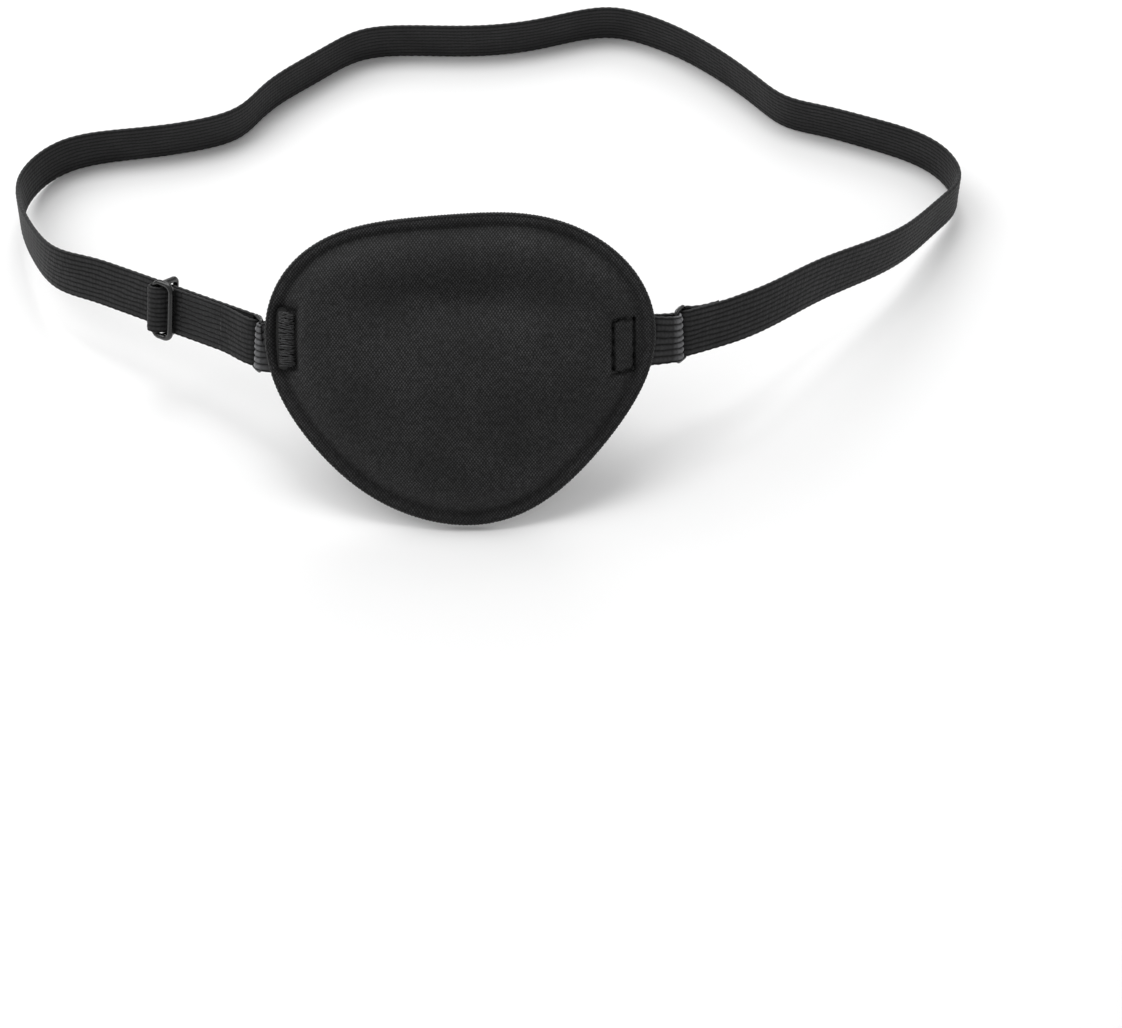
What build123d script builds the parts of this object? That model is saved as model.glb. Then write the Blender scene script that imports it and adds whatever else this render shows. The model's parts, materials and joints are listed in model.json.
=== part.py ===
"""An eye patch on an adjustable elastic head strap.

Millimetres, +Z up. The patch leans back with its outer side towards -Y, and the strap
stands on its lower edge behind it. Each function below makes one piece, in a frame whose
origin is on the floor below the middle of the patch. At the end all the pieces are moved
together, so that the origin is the middle of the bottom of the whole object's box, and
each is written to its own STEP file.
"""

import os
from math import cos, hypot, pi, radians, sin

from build123d import *

# Patch
PATCH_LEAN = 40  # degrees back from upright
PATCH_HEIGHT = 29.9  # height above the floor of the line through both tabs
OUTLINE_CENTRE_Y = -4.0  # below the tab line, in the patch's own plane
OUTLINE_RADIUS = 35.75  # mean radius of the outline
OUTLINE_WIDENING = 3.7  # how much wider than tall
OUTLINE_TAPER = 2.42  # how far the chin is drawn to a rounded point
OUTLINE_SKEW = 0.26  # the chin sits a little to one side
OUTLINE_SHOULDER = 0.3  # one upper shoulder is fuller than the other
OUTLINE_SQUARENESS = 0.21
OUTLINE_CROWN = (0.19, 0.31)  # the top edge is a little peaked, and flatter on one side
COVER = 0.6  # fabric thickness
LAYER_GAP = 0.02
CLEAR = 0.05  # between pieces that lie on each other
RIM_THICKNESS = 2.2
DOME_STEPS = ((0.93, 0), (0.84, 1.6), (0.7, 3.4), (0.48, 5.1), (0.22, 6.2))
# each step of the dome: its share of the outline's size, and its rise above the rim
SHOULDER_ROOM = 8.0
CAVITY_SHARE = 0.78  # the wearer's side is hollowed by this share of the dome
SEAM_THREAD = 0.5  # diameter of the overlocked edge thread

# Elastic
BAND_WIDTH = 10.5
BAND_THICKNESS = 1.0
BAND_LEAN = 22  # degrees that the band leans inwards where it leaves the patch

# Tabs, rings and folds
LEFT = -1
RIGHT = 1
TAB_SEWN = (30.0, 36.8)  # distances from the middle between which a tab lies on the patch
TAB_SEWN_STATIONS = (0.4, 0.7, 1)  # shares of that length
TAB_FOLD = {LEFT: (-41.8, -1.5, -3.2), RIGHT: (45.2, 0.4, -3.2)}  # in the patch's plane
TAB_STRAIGHT = 0.6  # flat length beside the fold
TAB_TURN = 8  # degrees that a tab turns backwards from the patch's width
WIRE_RADIUS = 0.4
RING_CORNER = 0.9
RUNNING_GAP = 0.05
RING_REACH = 3.7  # between the centres of a ring's two bars
RING_TILT = 52  # degrees that a ring hangs back from its tab
RING_SIDE_GAP = 0.2  # between a band's edge and a ring's side wire
LOOSE_FOLD = 0.85  # inner radius of the strap's fold round a ring
FOLD_TAIL = {LEFT: 9.0, RIGHT: 5.5}  # length in which a loose fold closes
SEWN_TAIL = 3.0  # further length in which the right fold is sewn to itself
FOLDED_GAP = 0.15  # between two lengths of the band that lie on each other

# Strap's course, seen from above, from the left ring round the head to the right ring
RAIL_HEADING = 32  # degrees, the straight length that the slider runs on
RAIL_DESCENT = 8  # degrees
RAIL_LENGTH = 44.0
LEFT_SIDE = [(-89.9, 32.6), (-96.8, 42.8), (-102.8, 57.6), (-104.6, 70.5)]
BACK_RUN = [
    (-97.5, 84.4),
    (-84.3, 89.0),
    (-65.6, 93.0),
    (-56.4, 97.8),
    (-52.1, 104.4),
    (-38.4, 118.8),
    (-28.9, 126.2),
    (-19.0, 128.0),
    (-4.0, 127.7),
    (15.8, 130.5),
    (35.0, 134.8),
    (40.8, 132.9),
    (60.2, 118.6),
    (69.5, 107.9),
    (75.5, 101.4),
    (83.5, 98.2),
    (94.5, 93.6),
]
RIGHT_SIDE = [(112.1, 81.0), (113.8, 71.5), (108.8, 62.6), (97.6, 46.6), (78.2, 27.2)]
RIGHT_HEADING = 32  # degrees, the strap where it leaves the right ring
RIGHT_STRAIGHT = 9.5  # straight length beside the right ring, longer than its sewn fold
FALL_LENGTH = {LEFT: 72.0, RIGHT: 100.0}  # plan lengths in which the strap sinks to the floor
STATION_STEP = 4.0
GRADE_STEP = 0.01  # share of the fall over which its slope is measured

# Slider
SLIDER_PLACE = 24.0  # from the left ring, along the straight length
SLIDER_HALF_SPACING = 2.3  # from its middle to either outer bar
SLIDER_WIRE = 0.65  # wire radius
SLIDER_CORNER = 1.6
SLIDER_SIDE_GAP = 0.25  # between the strap's edge and the slider's side wire
BOW_BEND = 0.9  # bend radius of the middle bar's two ends
SLIDER_PLAY = 0.4  # room for the slider to rock
END_STUB = 2.4  # length sewn back under the fold
END_LEAD = 2.0  # length that reaches past the near bar towards the ring
END_RISE = (0.6, 0.2)  # the end rises between these distances inside the two outer bars
THREAD_PAD = 0.3  # how far sewn threads stand proud
SEWN_ROW = (1.6, 1.0)  # a row of thread across the strap: its width, and its end margin
END_ROW = (1.2, 0.8)
END_ROW_INSET = 0.5  # from the far bar's axis

# Stitches through the patch
BAR_TACK = (-35.8, 0.6, 4.0, 12.0)  # centre x, y, width, height in the patch's plane
BOX_STITCH = (33.9, -0.6, 5.0, 11.5)
BAR_TACK_PROUD = 0.7
BOX_STITCH_LINE = 0.7
BAR_TACK_CORNER = 1.2
BOX_STITCH_CORNERS = (0.6, 0.3)  # outside and inside
TAB_STITCH = (3.0, 9.0)  # the same stitches on the back of a tab
TAB_STITCH_X = 34.2


def in_degrees(function, angle):
    return function(radians(angle))


def eased(value):
    """0 to 1, starting and stopping gently."""
    value = min(max(value, 0.0), 1.0)
    return value * value * (3 - 2 * value)


# ---------------------------------------------------------------- general shapes


def strip_face(points, normals, half_thickness):
    """A flat strip in the XY plane that follows points, with a smooth edge either side."""
    ahead = [p + n * half_thickness for p, n in zip(points, normals)]
    behind = [p - n * half_thickness for p, n in zip(points, normals)]
    outline = [
        Spline(*ahead),
        Line(ahead[-1], behind[-1]),
        Spline(*behind[::-1]),
        Line(behind[0], ahead[0]),
    ]
    return make_face(Wire(outline))


def ribbon(stations):
    """A solid band through stations, each a lower-edge point, an up and a side vector."""
    half = BAND_THICKNESS / 2
    rails = []
    for rise, side in ((0, half), (BAND_WIDTH, half), (BAND_WIDTH, -half), (0, -half)):
        corners = [low + up * rise + across * side for low, up, across in stations]
        rails.append(Spline(*corners) if len(corners) > 2 else Line(*corners))
    faces = [
        Face.make_surface_from_curves(rails[i].edge(), rails[(i + 1) % 4].edge())
        for i in range(4)
    ]
    for end in (0, 1):
        ring = [rail @ end for rail in rails]
        faces.append(Face(Wire.make_polygon(ring, close=True)))
    return Solid(Shell(faces))


def folded_band(plane, midline):
    """A band that bends in the plane given, drawn as its mid-line and raised across it."""
    return extrude(plane * trace(midline, BAND_THICKNESS), BAND_WIDTH, dir=plane.z_dir)


def wire_frame(plane, near, far, low, high, radius, corner):
    """A closed rectangular wire in a plane whose X runs from bar to bar and Y along them."""
    path = plane * Wire(
        RectangleRounded(far - near, high - low, corner)
        .moved(Location(((near + far) / 2, (low + high) / 2, 0)))
        .face()
        .outer_wire()
        .edges()
    )
    start = path @ 0
    return sweep(Plane(start, z_dir=path % 0) * Circle(radius), path=path)


# ---------------------------------------------------------------- patch


def patch_plane():
    normal = (0, -in_degrees(cos, PATCH_LEAN), in_degrees(sin, PATCH_LEAN))
    return Plane((0, 0, PATCH_HEIGHT), x_dir=(1, 0, 0), z_dir=normal)


def outline_radius(angle):
    return (
        OUTLINE_RADIUS
        + OUTLINE_WIDENING * cos(2 * angle)
        + OUTLINE_TAPER * sin(3 * angle)
        - OUTLINE_SKEW * cos(3 * angle)
        + OUTLINE_SHOULDER * sin(2 * angle)
        + OUTLINE_SQUARENESS * cos(4 * angle)
        + OUTLINE_CROWN[0] * cos(5 * angle)
        + OUTLINE_CROWN[1] * sin(5 * angle)
    )


def outline_curve(scale=1.0, outset=0.0, count=16):
    """The patch's edge, as a closed smooth curve in the patch's own plane."""
    points = []
    for step in range(count):
        angle = 2 * pi * step / count
        radius = outline_radius(angle) * scale + outset
        points.append((radius * cos(angle), OUTLINE_CENTRE_Y + radius * sin(angle)))
    return Spline(*points, periodic=True)


def outline_face(height, scale=1.0):
    return make_face(outline_curve(scale)).moved(Location((0, 0, height)))


def dome(height, share=1.0):
    """The moulded dome as a solid that stands on the plane at height."""
    return loft([outline_face(height + share * rise, scale) for scale, rise in DOME_STEPS])


def slab(low, high):
    return extrude(outline_face(low), high - low)


def moulding(low, high, low_share=1.0, high_share=1.0):
    """A layer of the patch: flat at the rim, domed inside it."""
    shape = slab(low, high) + dome(high, high_share) - dome(low, low_share)
    return patch_plane() * shape


def front_cover():
    return moulding(RIM_THICKNESS - COVER, RIM_THICKNESS)


def foam_core():
    inset = COVER + LAYER_GAP
    return moulding(inset, RIM_THICKNESS - inset, low_share=CAVITY_SHARE)


def back_cover():
    return moulding(0, COVER, CAVITY_SHARE, CAVITY_SHARE)


def edge_seam():
    """The overlocked thread that runs round the patch's edge."""
    path = outline_curve(outset=SEAM_THREAD / 2 + LAYER_GAP).edge()
    path = path.moved(Location((0, 0, RIM_THICKNESS / 2)))
    section = Plane(path @ 0, z_dir=path % 0) * Circle(SEAM_THREAD / 2)
    return patch_plane() * sweep(section, path=path)


def on_cover(face, proud):
    """A low pad of thread that follows the outer cover."""
    column = extrude(face, RIM_THICKNESS + SHOULDER_ROOM)
    top = slab(0, RIM_THICKNESS + proud) + dome(RIM_THICKNESS + proud)
    bottom = slab(-1, RIM_THICKNESS + LAYER_GAP) + dome(RIM_THICKNESS + LAYER_GAP)
    return (column & top) - bottom


# ---------------------------------------------------------------- joints between bands


def band_up(heading, lean=BAND_LEAN):
    """The direction across a band that runs along heading and leans inwards.

    heading is in plan and points away from the patch; inwards is away from the viewer.
    """
    inward = Vector(0, 1, 0) - heading * heading.Y
    inward = Vector(inward.X, inward.Y, 0).normalized()
    upright = Vector(0, 0, 1) * in_degrees(cos, lean) + inward * in_degrees(sin, lean)
    return (upright - heading * upright.dot(heading)).normalized()


def rail_direction():
    flat = in_degrees(cos, RAIL_DESCENT)
    return Vector(
        -flat * in_degrees(cos, RAIL_HEADING),
        flat * in_degrees(sin, RAIL_HEADING),
        -in_degrees(sin, RAIL_DESCENT),
    )


def side_axes(side):
    """Along, out and up at one side's tab: along runs away from the patch, out to -Y."""
    along = Vector(side * in_degrees(cos, TAB_TURN), in_degrees(sin, TAB_TURN), 0)
    up = band_up(rail_direction()) if side < 0 else band_up(along)
    along = (along - up * along.dot(up)).normalized()
    out = along.cross(up) * side
    return along, out, up


def tab_bar(side):
    """The lower end of the axis that a tab folds round."""
    middle = patch_plane().from_local_coords(Vector(TAB_FOLD[side]))
    return middle - side_axes(side)[2] * BAND_WIDTH / 2


def strap_bar(side):
    """The lower end of the axis that the strap folds round, on the same ring."""
    along, out, _ = side_axes(side)
    reach = along * in_degrees(cos, RING_TILT) - out * in_degrees(sin, RING_TILT)
    return tab_bar(side) + reach * RING_REACH


def strap_axes(side):
    """Along, out and up of the strap where it leaves a ring."""
    up = side_axes(side)[2]
    if side < 0:
        along = rail_direction()
    else:
        along = Vector(in_degrees(cos, RIGHT_HEADING), in_degrees(sin, RIGHT_HEADING), 0)
        along = (along - up * along.dot(up)).normalized()
    out = along.cross(up) * side
    return along, out, up


def strap_plane(side):
    """A plane across the strap's fold. Its Y points outwards on the left, inwards on the right."""
    along, _, up = strap_axes(side)
    return Plane(strap_bar(side), x_dir=along, z_dir=up)


# ---------------------------------------------------------------- tabs


def tab(side):
    """An elastic loop, sewn behind the patch and folded round one bar of its ring."""
    along, out, up = side_axes(side)
    fold = WIRE_RADIUS + RUNNING_GAP + BAND_THICKNESS / 2
    midline = [
        Line((-TAB_STRAIGHT, fold), (0, fold)),
        CenterArc((0, 0), fold, 90, -180),
        Line((0, -fold), (-TAB_STRAIGHT, -fold)),
    ]
    solid = folded_band(Plane(tab_bar(side), x_dir=along, z_dir=up), midline)
    for layer, shift in enumerate((fold, -fold)):
        start = tab_bar(side) - along * TAB_STRAIGHT + out * shift
        depth = -CLEAR - BAND_THICKNESS * (layer + 0.5) - CLEAR * layer
        solid += ribbon(tab_stations(side, start, depth))
    return solid


def tab_stations(side, start, depth, steps=6):
    """One layer of a tab: it leaves its fold at start and twists to lie on the patch."""
    along, out, up = side_axes(side)
    patch = patch_plane()
    ends = [Vector(side * x, -BAND_WIDTH / 2, depth) for x in TAB_SEWN]
    inner, sewn = [patch.from_local_coords(end) for end in ends]
    reach = (sewn - start).length
    stations = []
    for step in range(steps + 1):
        q = step / steps
        twist = eased(q)
        low = (
            start * (1 - twist)
            - along * reach * (q**3 - 2 * q**2 + q)
            + sewn * twist
            - patch.x_dir * side * reach * (q**3 - q**2)
        )
        turned_up = (up * (1 - twist) + patch.y_dir * twist).normalized()
        turned_out = (out * (1 - twist) + patch.z_dir * twist).normalized()
        stations.append((low, turned_up, turned_out))
    for q in TAB_SEWN_STATIONS:
        stations.append((sewn * (1 - q) + inner * q, patch.y_dir, patch.z_dir))
    return stations


# ---------------------------------------------------------------- rings


def ring(side):
    """A rectangular wire ring: one bar in the tab's fold and one in the strap's."""
    up = side_axes(side)[2]
    reach = (strap_bar(side) - tab_bar(side)).normalized()
    plane = Plane(tab_bar(side), x_dir=reach, z_dir=reach.cross(up))
    side_wire = RING_SIDE_GAP + WIRE_RADIUS
    low = -side_wire
    high = BAND_WIDTH + side_wire
    return wire_frame(plane, 0, RING_REACH, low, high, WIRE_RADIUS, RING_CORNER)


# ---------------------------------------------------------------- strap


def fold_radius():
    return LOOSE_FOLD + BAND_THICKNESS / 2


def rail_start():
    """The lower edge of the strap's inner length, beside the left ring's bar."""
    out = strap_axes(LEFT)[1]
    return strap_bar(LEFT) - out * fold_radius()


def right_start():
    """The lower edge of the strap's outer length, where its straight part ends."""
    along, out, _ = strap_axes(RIGHT)
    return strap_bar(RIGHT) + out * fold_radius() + along * RIGHT_STRAIGHT


def strap_plan():
    """The strap's course seen from above, after the slider's straight length."""
    first = rail_start() + rail_direction() * RAIL_LENGTH
    last = right_start()
    heading = rail_direction()
    leaving = strap_axes(RIGHT)[0]
    points = [(first.X, first.Y)] + LEFT_SIDE + BACK_RUN + RIGHT_SIDE + [(last.X, last.Y)]
    ends = [(heading.X, heading.Y), (-leaving.X, -leaving.Y)]
    return Spline(*points, tangents=ends, tangent_scalars=(1, 1))


def sinking_height(share, start, slope, length):
    """Height of the lower edge while it sinks from start to the floor, level at the end."""
    q = min(max(share, 0.0), 1.0)
    return start * (2 * q**3 - 3 * q**2 + 1) + slope * length * (q**3 - 2 * q**2 + q)


def side_stations(side, plan, lengths):
    """Stations of the strap between a ring's straight length and the floor."""
    along, out, up = strap_axes(side)
    flat = hypot(along.X, along.Y)
    start = rail_start().Z + along.Z * RAIL_LENGTH if side < 0 else right_start().Z
    slope = along.Z / flat
    fall = FALL_LENGTH[side]
    stations = []
    for length in lengths:
        place = length if side < 0 else plan.length - length
        point = plan.position_at(place, position_mode=PositionMode.LENGTH)
        tangent = plan.tangent_at(place, position_mode=PositionMode.LENGTH)
        travel = Vector(tangent.X, tangent.Y, 0) * -side
        share = length / fall
        height = sinking_height(share, start, slope, fall)
        ahead = sinking_height(share + GRADE_STEP, start, slope, fall)
        grade = (ahead - height) / (GRADE_STEP * fall)
        course = (travel + Vector(0, 0, grade)).normalized()
        outward = travel.cross(Vector(0, 0, 1)) * side
        upright = course.cross(outward) * -side
        lean = BAND_LEAN * (1 - eased(share))
        if length == 0:
            course, upright, lean = along, up, 0.0
            outward = out
        raised = upright * in_degrees(cos, lean) - outward * in_degrees(sin, lean)
        across = outward * in_degrees(cos, lean) + upright * in_degrees(sin, lean)
        stations.append((Vector(point.X, point.Y, height), raised, across))
    return stations


def spaced(start, end, step):
    """Evenly spaced values from start to end, about step apart."""
    count = max(1, round((end - start) / step))
    return [start + (end - start) * i / count for i in range(count + 1)]


def standing_length(plan):
    """The strap's back, which stands upright on the floor."""
    start = FALL_LENGTH[LEFT]
    end = plan.length - FALL_LENGTH[RIGHT]
    points = []
    normals = []
    for place in spaced(start, end, STATION_STEP):
        point = plan.position_at(place, position_mode=PositionMode.LENGTH)
        tangent = plan.tangent_at(place, position_mode=PositionMode.LENGTH)
        points.append(Vector(point.X, point.Y, 0))
        normals.append(Vector(-tangent.Y, tangent.X, 0))
    return extrude(strip_face(points, normals, BAND_THICKNESS / 2), BAND_WIDTH)


def left_fold():
    """The strap's turn round the left ring, and the straight length that it comes from."""
    radius = fold_radius()
    settled = -radius + BAND_THICKNESS + FOLDED_GAP
    midline = [
        Line((RAIL_LENGTH, -radius), (0, -radius)),
        CenterArc((0, 0), radius, -90, -180),
        Spline((0, radius), (FOLD_TAIL[LEFT], settled), tangents=[(1, 0), (1, 0)]),
    ]
    return folded_band(strap_plane(LEFT), midline)


def right_fold():
    """The strap's turn round the right ring, with its end sewn back on itself."""
    radius = fold_radius()
    settled = -radius + BAND_THICKNESS + FOLDED_GAP
    midline = [
        Line((RIGHT_STRAIGHT, -radius), (0, -radius)),
        CenterArc((0, 0), radius, -90, -180),
        Spline((0, radius), (FOLD_TAIL[RIGHT], settled), tangents=[(1, 0), (1, 0)]),
        Line((FOLD_TAIL[RIGHT], settled), (FOLD_TAIL[RIGHT] + SEWN_TAIL, settled)),
    ]
    return folded_band(strap_plane(RIGHT), midline)


def strap():
    """The long elastic band from the left ring round the head to the right ring."""
    plan = strap_plan()
    solid = standing_length(plan)
    for side, fold in ((LEFT, left_fold()), (RIGHT, right_fold())):
        lengths = spaced(0, FALL_LENGTH[side], STATION_STEP)
        solid += ribbon(side_stations(side, plan, lengths))
        solid += fold
    return solid


# ---------------------------------------------------------------- strap's adjustable end


def rail_frame():
    """Plane whose X is the distance from the left ring's bar and whose Y is outwards.

    Its origin is the lower edge of the strap's inner length.
    """
    along, out, up = strap_axes(LEFT)
    return Plane(rail_start(), x_dir=along, z_dir=up)


def return_level():
    """How far the returning length lies outside the inner one, mid-line to mid-line."""
    return BAND_THICKNESS + FOLDED_GAP


def bar_level():
    """How far the slider's outer bars lie outside the strap's inner length."""
    return return_level() + BAND_THICKNESS / 2 + SLIDER_PLAY + SLIDER_WIRE


def far_bar():
    return SLIDER_PLACE + SLIDER_HALF_SPACING


def near_bar():
    return SLIDER_PLACE - SLIDER_HALF_SPACING


def strap_return():
    """The length of strap that comes back from the left ring to the slider."""
    start = FOLD_TAIL[LEFT] + RUNNING_GAP
    end = near_bar() - END_LEAD - RUNNING_GAP
    level = return_level()
    return folded_band(rail_frame(), [Line((start, level), (end, level))])


def strap_end():
    """The strap's end: under the near bar, over the far bar, and folded back under it."""
    level = return_level()
    turn = SLIDER_WIRE + RUNNING_GAP + BAND_THICKNESS / 2
    top = bar_level() + turn
    low = bar_level() - turn
    rise_start = near_bar() + END_RISE[0]
    rise_end = far_bar() - END_RISE[1]
    midline = [
        Line((near_bar() - END_LEAD, level), (rise_start, level)),
        Spline((rise_start, level), (rise_end, top), tangents=[(1, 0), (1, 0)]),
        Line((rise_end, top), (far_bar(), top)),
        CenterArc((far_bar(), bar_level()), turn, 90, -180),
        Line((far_bar(), low), (far_bar() - END_STUB + turn, low)),
    ]
    return folded_band(rail_frame(), midline)


def strap_end_stitch():
    """The row of thread that sews the strap's end round the slider's bar."""
    turn = SLIDER_WIRE + RUNNING_GAP + BAND_THICKNESS / 2
    thickness = THREAD_PAD / 2
    under = bar_level() - turn - BAND_THICKNESS / 2 - thickness / 2 - LAYER_GAP
    return thread_pad(rail_frame(), far_bar() - END_ROW_INSET, under, thickness, END_ROW)


def strap_right_stitch():
    """The row of thread that sews the strap's folded end behind the right ring."""
    settled = -fold_radius() + BAND_THICKNESS + FOLDED_GAP
    behind = settled + BAND_THICKNESS / 2 + THREAD_PAD / 2 + LAYER_GAP
    place = FOLD_TAIL[RIGHT] + SEWN_TAIL / 2
    return thread_pad(strap_plane(RIGHT), place, behind, THREAD_PAD, SEWN_ROW)


def thread_pad(plane, centre, level, thickness, row):
    """A low pad of thread across a band, clear of its edges by the row's margin."""
    width, margin = row
    sketch = plane * (Pos(centre, level, margin) * Rectangle(width, thickness))
    return extrude(sketch, BAND_WIDTH - 2 * margin, dir=plane.z_dir)


# ---------------------------------------------------------------- slider


def slider():
    """A three-bar wire slider. Its middle bar is bowed behind the strap's inner length."""
    rail = rail_frame()
    centre = rail.from_local_coords(Vector(SLIDER_PLACE, bar_level(), 0))
    frame_plane = Plane(centre, x_dir=rail.x_dir, z_dir=rail.x_dir.cross(rail.z_dir))
    side_wire = SLIDER_SIDE_GAP + SLIDER_WIRE
    low = -side_wire
    high = BAND_WIDTH + side_wire
    half = SLIDER_HALF_SPACING
    frame = wire_frame(frame_plane, -half, half, low, high, SLIDER_WIRE, SLIDER_CORNER)
    bow = -BAND_THICKNESS / 2 - SLIDER_PLAY - SLIDER_WIRE
    bow_path = Polyline(
        (low, bar_level()),
        (low, bow),
        (high, bow),
        (high, bar_level()),
    )
    bow_wire = Wire(fillet(bow_path.vertices().sort_by(Axis.Y)[:2], BOW_BEND).edges())
    bow_plane = Plane(
        rail.from_local_coords(Vector(SLIDER_PLACE, 0, 0)),
        x_dir=rail.z_dir,
        z_dir=rail.z_dir.cross(rail.y_dir),
    )
    bow_line = bow_plane * bow_wire
    section = Plane(bow_line @ 0, z_dir=bow_line % 0) * Circle(SLIDER_WIRE)
    return frame + sweep(section, path=bow_line)


# ---------------------------------------------------------------- stitches


def patch_stitch_back(side):
    """The same stitches seen on the back of a tab."""
    depth = -2 * (BAND_THICKNESS + CLEAR) - THREAD_PAD / 2 - LAYER_GAP
    width, height = TAB_STITCH
    return patch_plane() * (Pos(side * TAB_STITCH_X, 0, depth) * Box(width, height, THREAD_PAD))


def left_bar_tack():
    """A raised satin bar that sews the left tab to the patch."""
    x, y, width, height = BAR_TACK
    face = Pos(x, y) * RectangleRounded(width, height, BAR_TACK_CORNER).face()
    front = on_cover(face, BAR_TACK_PROUD)
    return Compound([patch_plane() * front, patch_stitch_back(LEFT)])


def right_box_stitch():
    """A box of stitches, pressed into the cover, that sews the right tab to the patch."""
    x, y, width, height = BOX_STITCH
    line = BOX_STITCH_LINE
    outside, inside = BOX_STITCH_CORNERS
    outer = RectangleRounded(width, height, outside)
    inner = RectangleRounded(width - 2 * line, height - 2 * line, inside)
    face = Pos(x, y) * (outer - inner).face()
    front = on_cover(face, THREAD_PAD)
    return Compound([patch_plane() * front, patch_stitch_back(RIGHT)])


# ---------------------------------------------------------------- output

PIECES = {
    "front_cover": front_cover,
    "foam_core": foam_core,
    "back_cover": back_cover,
    "edge_seam": edge_seam,
    "left_bar_tack": left_bar_tack,
    "right_box_stitch": right_box_stitch,
    "left_tab": lambda: tab(LEFT),
    "right_tab": lambda: tab(RIGHT),
    "left_ring": lambda: ring(LEFT),
    "right_ring": lambda: ring(RIGHT),
    "strap": strap,
    "strap_return": strap_return,
    "strap_end": strap_end,
    "strap_end_stitch": strap_end_stitch,
    "strap_right_stitch": strap_right_stitch,
    "slider": slider,
}

pieces = {name: make() for name, make in PIECES.items()}
box = Compound(list(pieces.values())).bounding_box()
to_origin = Location((-box.center().X, -box.center().Y, -box.min.Z))

os.makedirs("parts", exist_ok=True)
for name, piece in pieces.items():
    export_step(piece.moved(to_origin), f"parts/{name}.step")
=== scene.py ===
import functools
import json
import math

import bpy
import numpy as np
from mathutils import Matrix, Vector


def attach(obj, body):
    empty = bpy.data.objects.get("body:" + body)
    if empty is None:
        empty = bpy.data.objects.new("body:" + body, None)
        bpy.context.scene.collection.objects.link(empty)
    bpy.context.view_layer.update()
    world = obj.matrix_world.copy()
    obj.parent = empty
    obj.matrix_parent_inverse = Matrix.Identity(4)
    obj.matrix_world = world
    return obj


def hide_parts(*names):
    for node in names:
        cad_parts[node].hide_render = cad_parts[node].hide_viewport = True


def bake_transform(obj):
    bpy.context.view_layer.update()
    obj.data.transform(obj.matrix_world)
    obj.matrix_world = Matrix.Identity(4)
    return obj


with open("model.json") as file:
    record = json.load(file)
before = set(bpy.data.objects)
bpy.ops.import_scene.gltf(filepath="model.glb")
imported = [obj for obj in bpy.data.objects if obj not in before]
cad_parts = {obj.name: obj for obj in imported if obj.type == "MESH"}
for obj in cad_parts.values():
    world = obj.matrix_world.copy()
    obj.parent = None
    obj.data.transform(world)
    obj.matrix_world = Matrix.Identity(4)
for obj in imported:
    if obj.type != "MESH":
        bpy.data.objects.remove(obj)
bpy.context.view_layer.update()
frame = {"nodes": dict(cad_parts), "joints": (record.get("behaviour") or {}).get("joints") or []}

# An eye patch on an adjustable elastic strap. Lengths are in millimetres until a mesh is made.
MM = 0.001
SEED = 11
ROOT = "patch_and_strap"  # the body that most pieces ride on

# How the bands' courses are read from the frame
WELD = 0.003  # vertices closer than this are one
DENSE = 0.1  # spacing along a band's edge while its course is worked out
WINDOW = 15  # points searched ahead on a band's other edges
CREASE = 0.5  # two faces meet in an edge where their normals' cosine is below this
STATION = 0.45  # spacing of a visual band's cross-sections
BROAD = 14  # samples over which small steps in a course are evened out
FINE = 2.5  # the same where the band bends sharply
SHARP = (0.06, 0.1)  # distance between both courses that starts a sharp bend, and its range

# Elastic
WIDTH = 10.5
THICKNESS = 1.0
RIBS = 9
TAB_RIBS = 7  # the tabs' elastic has broader ribs
RIB_DEPTH = 0.25
RIB_SAMPLES = 8  # points across one rib
RIB_ROUNDNESS = 0.42  # below 1 makes flat ribs with narrow gaps
CORD = 0.42  # radius of the cord along either edge
CORD_SAMPLES = 7
CORD_TURN = 68  # degrees either way that the cord's outside covers
FLAT = WIDTH / 2 - CORD  # from the middle to the centre of either cord
CHAIN = 0.9  # length of one knitted stitch
WANDER = 0.35  # how far the strap strays from a smooth course
STEADY_LEFT = 60  # lengths beside either ring in which it does not
STEADY_RIGHT = 30
RETURN_OVERLAP = 0.3  # how far the returning length reaches under its neighbours
FOLD_SQUEEZE = 0.25  # how much thinner the elastic is where it is folded
FOLD_BEND = 0.2  # bend per millimetre that counts as a fold
GATHER = 0.3  # how far the ribs stand out on the outside of a tab's fold
GATHER_REACH = 1.6
SEWN_END = 9.5  # length of the strap's right end that is sewn back on the strap
SEWN_DROP = 0.4  # how much lower that end lies than the strap

# How many degrees further than the CAD strap the visual one leans inwards, at
# distances from the left ring and then from the right ring
LEAN_FROM_LEFT = ((0, 0), (60, 0), (74, -12), (95, -7), (120, 2), (150, 7))
LEAN_FROM_RIGHT = ((150, 7), (115, 1), (85, -6), (35, -6), (22, 0), (0, 0))

# Patch
COVER = 0.6
LAYER_GAP = 0.05  # between the foam and either cover
HARMONICS = 8  # orders of the curve that describes the outline
SPOKES = 360  # points round a layer
UV_SHIFT = 50  # keeps the patch's surface coordinates positive
EDGE_SLOPE = 0.97  # true distance to the edge for each millimetre of radius
SHOULDER = 3.6  # height of the shoulder above the rim
SHOULDER_REACH = 3.4
CAVITY = 0.75  # the wearer's side is hollowed by this share of the moulding
TAB_POCKET = 5.5  # half height of the flat places behind the tabs
TAB_POCKET_START = 31.5  # distance of those places from the middle
GROOVE_PLACE = 2.5  # distance of the pressed groove from the edge
GROOVE_DEPTH = 0.35
GROOVE_WIDTH = 0.9
EDGE_ROLL = 0.5  # how far the cover turns down at the very edge

# Reliefs of the moulding: height, middle (to the right, and above the tabs), half sizes
RELIEFS = (
    (3.5, 0.5, -10.5, 25, 13.5),  # main crest
    (-3.1, 1.5, 8.5, 19, 5.8),  # valley above it
    (0.35, -25, -4, 7, 12),  # beside the bar tack
    (0.35, 26, -6, 7, 12),  # beside the box stitch
)

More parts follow.
